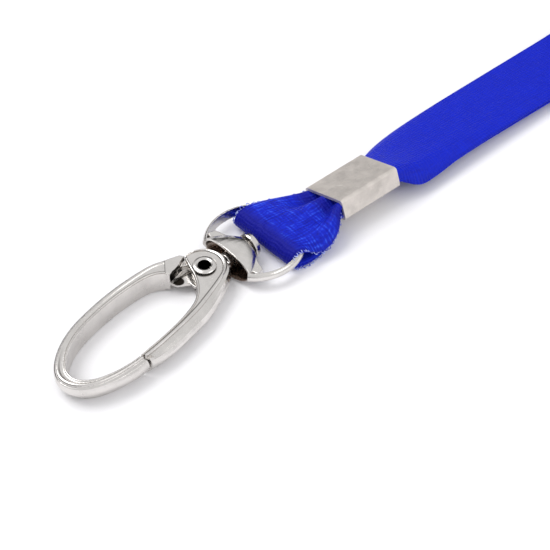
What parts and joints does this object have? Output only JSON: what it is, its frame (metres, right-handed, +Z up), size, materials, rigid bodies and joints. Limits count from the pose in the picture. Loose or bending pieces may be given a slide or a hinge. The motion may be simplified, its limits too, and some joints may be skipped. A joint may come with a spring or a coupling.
{
  "type": "lanyard badge holder",
  "caption": "Neck lanyard in blue satin ribbon, crimped in a metal sleeve round a swivel ring that carries an oval snap hook with a sprung gate for a badge.",
  "frame": {"origin": "centre of the underside of the whole part's bounding box, on the surface it lies on", "axes": "+Y along the ribbon, away from the hook; +Z up from the surface; the hook's eye is at the -Y end"},
  "size_m": [0.021, 0.239, 0.0084],
  "materials": {
    "plated_metal": "bright nickel plate over a zinc casting",
    "plated_metal_gate": "bright nickel plate over a zinc casting",
    "plated_metal_rivet": "bright nickel plate over a rolled brass eyelet",
    "spring_steel": "drawn spring wire",
    "plated_metal_pin": "bright nickel plate, peened end",
    "plated_metal_ring": "bright nickel plate over a zinc casting",
    "satin_steel": "satin plated sheet steel with light scuffs",
    "ribbon_loop": "woven satin ribbon",
    "ribbon_run": "woven satin ribbon",
    "ribbon_hank": "woven satin ribbon, folded",
    "elastic_tie": "plain white elastic band"
  },
  "bodies": {
    "strap": {"crimp_sleeve": "satin_steel", "strap_loop": "ribbon_loop", "strap_run": "ribbon_run", "strap_hank": "ribbon_hank", "hank_tie": "elastic_tie"},
    "ring": {"swivel_ring": "plated_metal_ring"},
    "hook": {"hook_body": "plated_metal", "pivot_rivet": "plated_metal_rivet", "gate_spring": "spring_steel", "swivel_pin": "plated_metal_pin"},
    "gate": {"gate_lever": "plated_metal_gate"}
  },
  "joints": [
    {"name": "ring_tilt", "type": "hinge", "parent": "strap", "child": "ring", "pos_m": [-0.00105, -0.06567, 0.0026], "axis": [0.9998, 0.0209, 0], "range_deg": [-25, 25]},
    {"name": "hook_swivel", "type": "hinge", "parent": "ring", "child": "hook", "pos_m": [-0.00087, -0.07446, 0.0026], "axis": [-0.0209, 0.9998, 0], "continuous": true},
    {"name": "gate_pivot", "type": "hinge", "parent": "hook", "child": "gate", "pos_m": [-0.00068, -0.08346, 0.0025], "axis": [0, 0, 1], "range_deg": [-25, 0], "stiffness_Nm_per_rad": 0.08, "springref_deg": 20.05, "deforming": ["gate_spring"]}
  ]
}
